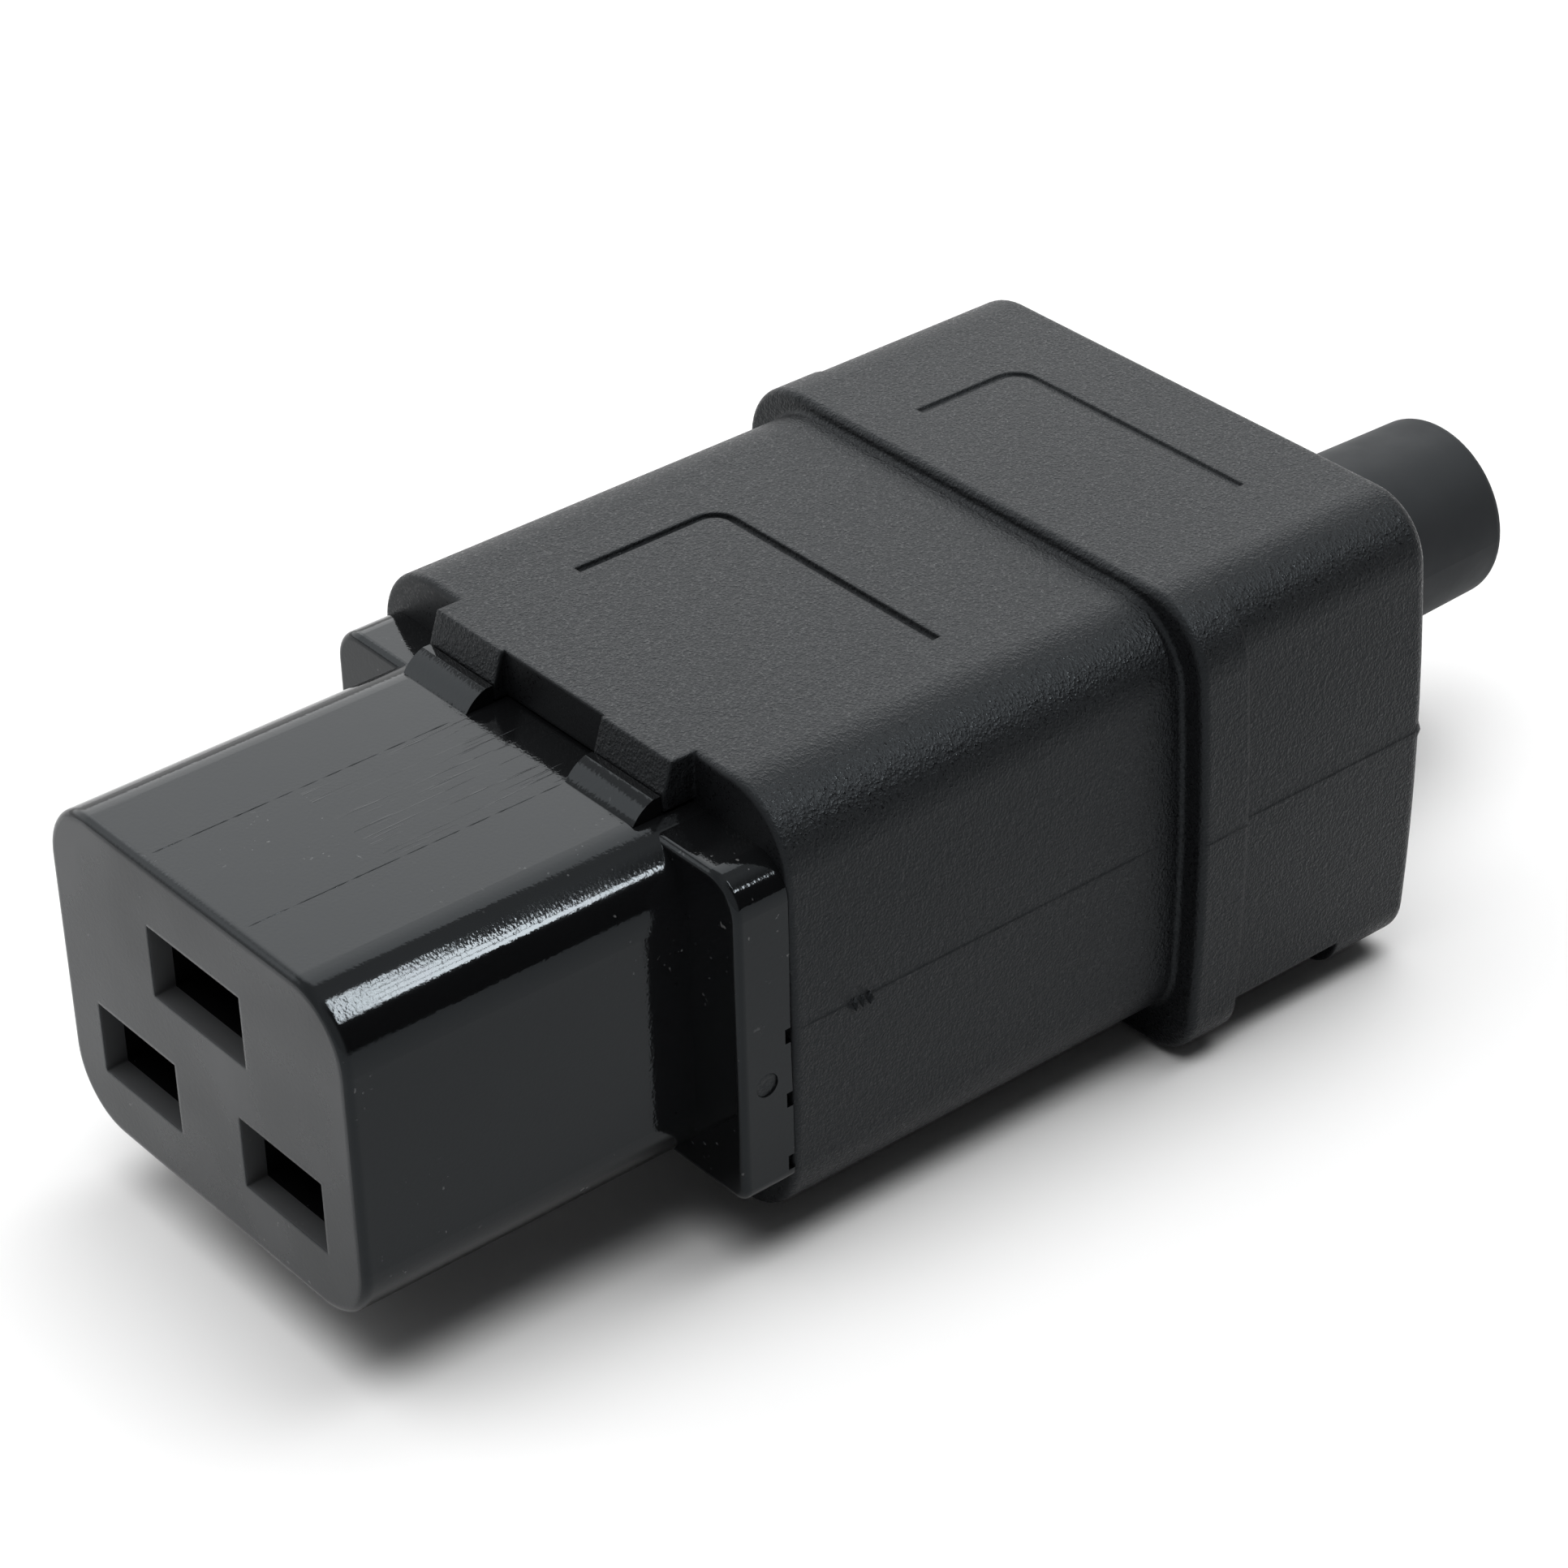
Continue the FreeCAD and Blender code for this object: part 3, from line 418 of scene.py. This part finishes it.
def mould_lines(material):
    """Two fine broken lines along the top of the nose, left by the mould's inserts."""
    rng = random.Random(7)
    last = MOULD_LINE_TO
    for index, side in enumerate((-1, 1)):
        y, count = MOULD_LINE_FROM, 0
        while y < last - 0.5:
            length = rng.uniform(1.2, 3.4)
            stations = spaced(y, min(y + length, last), INSERT_STEP)
            path = [(side * MOULD_LINE, at, NOSE_TOP) for at in stations]
            name = f"mould_line_{index}_{count}"
            ribbon(name, path, INSERT_LINE, (1, 0, 0), (0, 0, 1), material, count)
            y += length + rng.uniform(0.05, 0.35)
            count += 1


def make_floor():
    """Pale floor, placed as the shadows in the photo show it."""
    material, tree, shader = new_material("floor_white")
    coords = object_coords(tree)
    tone = ramp(tree, noise(tree, coords, 6, 2.0), [(0.3, 0.96), (0.7, 0.98)])
    tree.links.new(tone, shader.inputs["Base Color"])
    shader.inputs["Roughness"].default_value = 0.7
    shader.inputs["Specular IOR Level"].default_value = 0.2
    stand = (RIM_FRONT + RIM_EDGE) * MM
    plan = [(x * FLOOR_REACH, y * FLOOR_REACH) for x, y in ((-1, -1), (1, -1), (1, 1), (-1, 1))]
    corners = [(x, y, -FLOOR_DROP - (y - stand) * FLOOR_SLOPE) for x, y in plan]
    mesh = bpy.data.meshes.new("floor")
    mesh.from_pydata(corners, [], [(0, 1, 2, 3)])
    mesh.materials.append(material)
    floor = bpy.data.objects.new("floor", mesh)
    bpy.context.scene.collection.objects.link(floor)


def new_lamp(name, size, power, on_matt):
    """A rectangular lamp; on_matt says whether it lights matt surfaces or shows in gloss only."""
    data = bpy.data.lights.new(name, "AREA")
    data.shape = "RECTANGLE"
    data.size, data.size_y = size
    data.energy = power
    lamp = bpy.data.objects.new(name, data)
    lamp.visible_diffuse = on_matt
    bpy.context.scene.collection.objects.link(lamp)
    return lamp


def area_light(name, direction, distance, size, power, on_matt):
    lamp = new_lamp(name, size, power, on_matt)
    aim = Vector(direction).normalized()
    lamp.location = LAMP_AIM + aim * distance
    lamp.rotation_euler = aim.to_track_quat("Z", "Y").to_euler()


def mirrored_spot(turn, y, distance):
    """Where the camera looks to by way of the nose's top right edge, at a turn from upright and a station."""
    face = Vector((math.sin(turn), 0, math.cos(turn)))
    spot = Vector((NOSE_HALF - NOSE_ROUND, y, NOSE_TOP - NOSE_ROUND)) + NOSE_ROUND * face
    to_camera = (CAMERA_AT / MM - spot).normalized()
    return spot + (2 * face.dot(to_camera) * face - to_camera) * distance


def light_tubes():
    """Tubes whose reflections lie along the top right edge of the nose: more of them towards its front."""
    for index, (turn, last) in enumerate(TUBES):
        near = mirrored_spot(math.radians(turn), NOSE_FACE - 1.0, TUBE_DISTANCE)
        far = mirrored_spot(math.radians(turn), SHELL_FRONT - last, TUBE_DISTANCE)
        run = (far - near).normalized()
        away = (near + far) / 2 - Vector((NOSE_HALF, NOSE_FACE, NOSE_TOP))
        out = (away - away.dot(run) * run).normalized()
        length, width = (far - near).length * MM, TUBE_WIDTH * MM
        power = TUBE_RADIANCE * math.pi * length * width
        lamp = new_lamp(f"tube_{index}", (length, width), power, False)
        turned = Matrix((run, out.cross(run), out)).transposed().to_4x4()
        lamp.matrix_world = Matrix.Translation((near + far) / 2 * MM) @ turned


def along(tree, coords, direction, lowest):
    """How far a direction points along another one, from 0 at lowest to 1."""
    dot = add_node(tree, "ShaderNodeVectorMath", operation="DOT_PRODUCT")
    tree.links.new(coords, dot.inputs[0])
    dot.inputs[1].default_value = direction
    scaled = add_node(tree, "ShaderNodeMapRange")
    scaled.inputs["From Min"].default_value = lowest
    tree.links.new(dot.outputs["Value"], scaled.inputs["Value"])
    return scaled.outputs["Result"]


def make_world():
    """White studio: soft overhead light for matt surfaces, and for gloss a room that darkens to the right."""
    world = bpy.data.worlds.new("studio")
    world.use_nodes = True
    bpy.context.scene.world = world
    tree = world.node_tree
    tree.nodes.clear()
    coords = tree.nodes.new("ShaderNodeTexCoord").outputs["Generated"]
    room = add_node(tree, "ShaderNodeBackground")
    room_tone = ramp(tree, along(tree, coords, (1, 0, 0), -1.0), ROOM_TONE)
    front_tone = ramp(tree, along(tree, coords, ROOM_FRONT, 0.0), ROOM_FRONT_TONE)
    tree.links.new(math_node(tree, "MAXIMUM", room_tone, front_tone), room.inputs["Color"])
    fill = add_node(tree, "ShaderNodeBackground", Strength=FILL)
    aims = [along(tree, coords, Vector(place).normalized(), FILL_LOWEST) for place in FILL_FROM]
    discs = [ramp(tree, aim, FILL_DISC) for aim in aims]
    tree.links.new(math_node(tree, "MAXIMUM", *discs), fill.inputs["Color"])
    white = add_node(tree, "ShaderNodeBackground", Color=(1, 1, 1, 1), Strength=1.0)
    path = tree.nodes.new("ShaderNodeLightPath")
    lit = add_node(tree, "ShaderNodeMixShader")
    tree.links.new(path.outputs["Is Glossy Ray"], lit.inputs["Fac"])
    tree.links.new(fill.outputs["Background"], lit.inputs[1])
    tree.links.new(room.outputs["Background"], lit.inputs[2])
    seen = add_node(tree, "ShaderNodeMixShader")
    straight = math_node(tree, "MAXIMUM", path.outputs["Is Camera Ray"], path.outputs["Is Transmission Ray"])
    tree.links.new(straight, seen.inputs["Fac"])
    tree.links.new(lit.outputs["Shader"], seen.inputs[1])
    tree.links.new(white.outputs["Background"], seen.inputs[2])
    output = tree.nodes.new("ShaderNodeOutputWorld")
    tree.links.new(seen.outputs["Shader"], output.inputs["Surface"])


bpy.context.scene.view_settings.view_transform = "Standard"
make_camera()
make_world()
area_light("window", (-0.62, 0.5, 0.62), 0.7, (0.7, 0.6), 2.5, False)
area_light("left_lamp", (-0.85, -0.25, 0.45), 0.6, (0.6, 0.4), 1.15, True)
light_tubes()
make_floor()

shell_black, carrier_black = shell_material(), carrier_material()
dress(shell_black, "outer_shell")
dress(carrier_black, "contact_carrier")
dress(sleeve_material(), "cable_sleeve")
dress(holder_material(), "rear_holder", "cord_clamp_bar")
dress(metal_material("spring_brass", (0.62, 0.44, 0.2), (0.8, 0.62, 0.34), 0.34, (300, 4000, 4000)),
      "line_contact", "neutral_contact", "earth_contact")
dress(metal_material("turned_brass", (0.6, 0.42, 0.2), (0.76, 0.57, 0.3), 0.38, (3000, 400, 3000)),
      "line_terminal", "neutral_terminal", "earth_terminal")
dress(metal_material("plated_steel", (0.5, 0.5, 0.52), (0.66, 0.66, 0.67), 0.36, (2500, 2500, 600)),
      "line_terminal_screw", "neutral_terminal_screw", "earth_terminal_screw", "left_holder_screw",
      "right_holder_screw", "left_clamp_screw", "right_clamp_screw", "shell_screw", "shell_nut")
parting_line("parting_line_right", 1, shell_black, 3)
parting_line("parting_line_left", -1, shell_black, 5)
parting_burrs(shell_black)
mould_lines(carrier_black)
